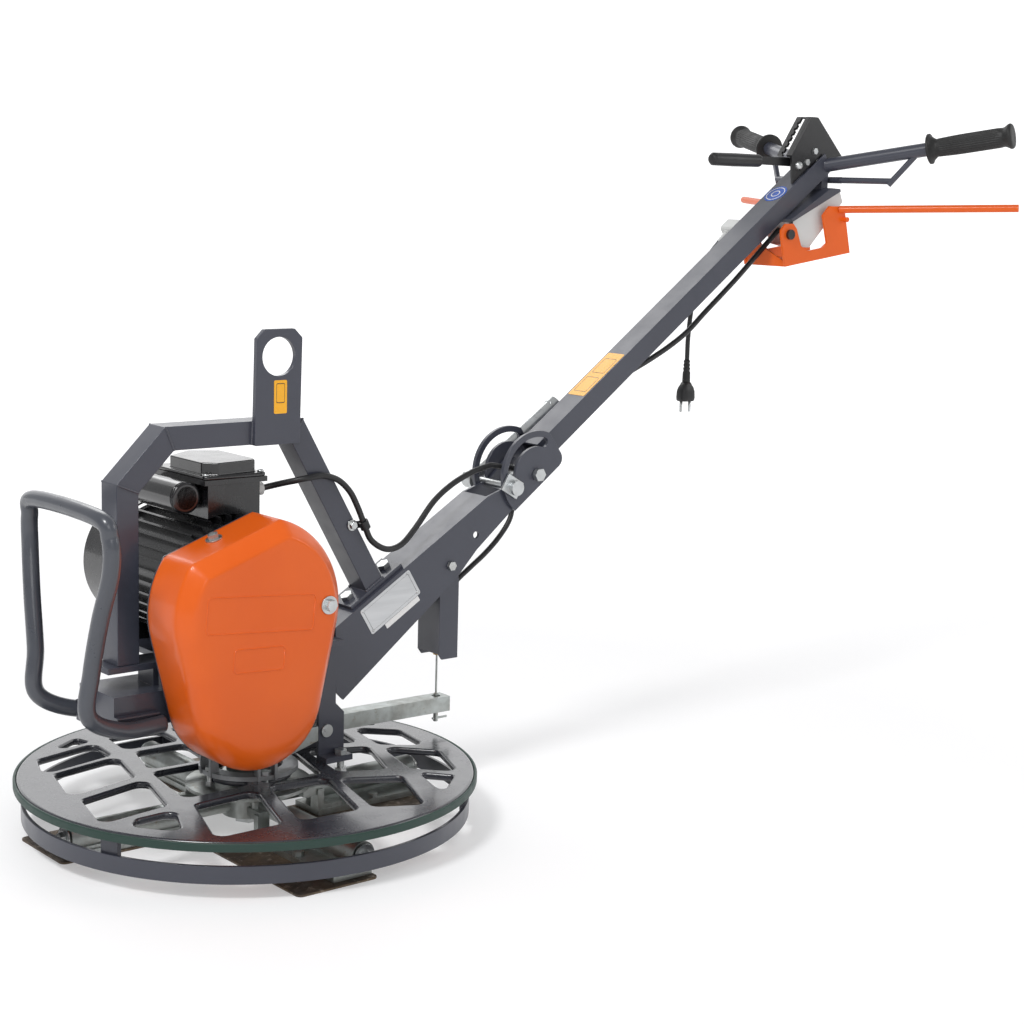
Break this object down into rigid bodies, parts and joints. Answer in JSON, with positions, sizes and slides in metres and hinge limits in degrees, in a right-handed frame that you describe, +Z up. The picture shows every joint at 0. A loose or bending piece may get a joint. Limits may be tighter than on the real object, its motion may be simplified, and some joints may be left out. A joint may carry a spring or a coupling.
{
  "type": "power trowel",
  "caption": "Walk-behind power trowel with electric motor, belt drive, guarded tilting blades, folding handle, dead-man bar and lifting frame, for smoothing concrete floors.",
  "frame": {"origin": "on the floor, where the rotor's axis meets it", "axes": "+X to the operator along the handle, -Y to the belt cover's side, +Z up"},
  "size_m": [1.5402, 0.62, 0.9845],
  "materials": {
    "charcoal_paint": "satin painted steel",
    "plate_paint": "gloss painted steel",
    "green_trim": "moulded edging",
    "zinc": "zinc plated",
    "shaft_steel": "turned steel",
    "worn_steel": "worn bare blade steel",
    "casting": "cast",
    "bronze": "machined",
    "motor_black": "gloss black paint on cast aluminium",
    "laminations": "stacked laminations",
    "black_plastic": "moulded",
    "gloss_plastic": "moulded",
    "orange_paint": "gloss powder coat",
    "grey_plastic": "moulded",
    "black_rubber": "moulded"
  },
  "bodies": {
    "machine": {"guard_plate": "plate_paint", "guard_trim": "green_trim", "guard_ring": "charcoal_paint", "base_frame": "charcoal_paint", "frame_bolts": "zinc", "roll_frame": "charcoal_paint", "lifting_plate": "charcoal_paint", "front_handle": "charcoal_paint", "gearbox_body": "casting", "gearbox_bearings": "shaft_steel", "motor_housing": "motor_black", "motor_stator": "laminations", "motor_end_shields": "motor_black", "fan_cowl": "black_plastic", "terminal_box": "motor_black", "terminal_lid": "gloss_plastic", "capacitor": "black_plastic", "drive_belt": "black_rubber", "belt_backplate": "charcoal_paint", "belt_cover": "orange_paint", "handle_bracket": "charcoal_paint", "handle_bolts": "zinc", "cable_guide": "charcoal_paint", "cable_fittings": "bronze", "lower_cables": "black_rubber"},
    "rotor": {"worm_wheel": "bronze", "output_shaft": "shaft_steel", "rotor_hub": "zinc", "rotor_arms": "zinc", "rotor_fasteners": "zinc"},
    "pitch_plate": {"pressure_plate": "zinc", "thrust_bearing": "zinc"},
    "pitch_collar": {"thrust_collar": "zinc"},
    "yoke": {"pitch_yoke": "zinc"},
    "rod": {"pull_rod": "zinc"},
    "blade_arm_1": {"blade_1": "worn_steel", "blade_holder_1": "zinc"},
    "blade_arm_2": {"blade_2": "worn_steel", "blade_holder_2": "zinc"},
    "blade_arm_3": {"blade_3": "worn_steel", "blade_holder_3": "zinc"},
    "blade_arm_4": {"blade_4": "worn_steel", "blade_holder_4": "zinc"},
    "worm": {"worm_shaft": "shaft_steel", "driven_pulley": "casting"},
    "motor_rotor": {"motor_shaft": "shaft_steel", "drive_pulley": "casting", "motor_fan": "black_plastic"},
    "handle": {"handle_tube": "charcoal_paint", "handlebar": "charcoal_paint", "grips": "black_rubber", "pitch_quadrant": "charcoal_paint", "switch_box": "grey_plastic", "upper_cables": "black_rubber", "mains_lead": "black_rubber", "mains_plug": "black_plastic"},
    "fold_lock": {"lock_lever": "zinc"},
    "bail": {"deadman_bail": "orange_paint"},
    "plunger": {"switch_plunger": "black_plastic"},
    "pitch_control": {"pitch_lever": "black_plastic"}
  },
  "joints": [
    {"name": "rotor_spin", "type": "hinge", "parent": "machine", "child": "rotor", "pos_m": [0, 0, 0.03], "axis": [0, 0, 1], "continuous": true},
    {"name": "worm_spin", "type": "hinge", "parent": "machine", "child": "worm", "pos_m": [-0.076, 0, 0.2], "axis": [0, 1, 0], "continuous": true},
    {"name": "motor_spin", "type": "hinge", "parent": "machine", "child": "motor_rotor", "pos_m": [-0.052, 0, 0.342], "axis": [0, 1, 0], "continuous": true},
    {"name": "pitch_lever_turn", "type": "hinge", "parent": "handle", "child": "pitch_control", "pos_m": [1.068, 0, 0.912], "axis": [0, 1, 0], "range_deg": [0, 75]},
    {"name": "plate_lift", "type": "slide", "parent": "rotor", "child": "pitch_plate", "axis": [0, 0, -1], "range_m": [0, 0.0072]},
    {"name": "collar_lift", "type": "slide", "parent": "machine", "child": "pitch_collar", "axis": [0, 0, -1], "range_m": [0, 0.0072]},
    {"name": "yoke_turn", "type": "hinge", "parent": "machine", "child": "yoke", "pos_m": [0.104, 0, 0.118], "axis": [0, -1, 0], "range_deg": [0, 4]},
    {"name": "rod_pull", "type": "slide", "parent": "machine", "child": "rod", "axis": [0, 0, 1], "range_m": [0, 0.0148]},
    {"name": "handle_fold", "type": "hinge", "parent": "machine", "child": "handle", "pos_m": [0.468, 0, 0.447], "axis": [0, -1, 0], "range_deg": [0, 100]},
    {"name": "fold_lock_turn", "type": "hinge", "parent": "machine", "child": "fold_lock", "pos_m": [0.42262, 0, 0.43137], "axis": [0, -1, 0], "range_deg": [0, 60]},
    {"name": "bail_turn", "type": "hinge", "parent": "handle", "child": "bail", "pos_m": [0.975, 0, 0.797], "axis": [0, -1, 0], "range_deg": [0, 9], "stiffness_Nm_per_rad": 4, "springref_deg": -11.46},
    {"name": "plunger_push", "type": "slide", "parent": "handle", "child": "plunger", "axis": [0, 0, 1], "range_m": [0, 0.008]},
    {"name": "blade_1_tilt", "type": "hinge", "parent": "rotor", "child": "blade_arm_1", "pos_m": [0, 0, 0.03], "axis": [1, 0, 0], "range_deg": [0, 13]},
    {"name": "blade_2_tilt", "type": "hinge", "parent": "rotor", "child": "blade_arm_2", "pos_m": [0, 0, 0.03], "axis": [0, -1, 0], "range_deg": [0, 13]},
    {"name": "blade_3_tilt", "type": "hinge", "parent": "rotor", "child": "blade_arm_3", "pos_m": [0, 0, 0.03], "axis": [-1, 0, 0], "range_deg": [0, 13]},
    {"name": "blade_4_tilt", "type": "hinge", "parent": "rotor", "child": "blade_arm_4", "pos_m": [0, 0, 0.03], "axis": [0, 1, 0], "range_deg": [0, 13]}
  ],
  "couplings": [
    {"joint": "worm_spin", "follows": "rotor_spin", "ratio": 15},
    {"joint": "motor_spin", "follows": "rotor_spin", "ratio": 22.5},
    {"joint": "plate_lift", "follows": "pitch_lever_turn", "m_per_rad": 0.005485},
    {"joint": "collar_lift", "follows": "pitch_lever_turn", "m_per_rad": 0.005485},
    {"joint": "yoke_turn", "follows": "pitch_lever_turn", "ratio": 0.0528},
    {"joint": "rod_pull", "follows": "pitch_lever_turn", "m_per_rad": 0.01123},
    {"joint": "plunger_push", "follows": "bail_turn", "m_per_rad": 0.050293},
    {"joint": "blade_1_tilt", "follows": "pitch_lever_turn", "ratio": 0.17267},
    {"joint": "blade_2_tilt", "follows": "pitch_lever_turn", "ratio": 0.17267},
    {"joint": "blade_3_tilt", "follows": "pitch_lever_turn", "ratio": 0.17267},
    {"joint": "blade_4_tilt", "follows": "pitch_lever_turn", "ratio": 0.17267}
  ]
}
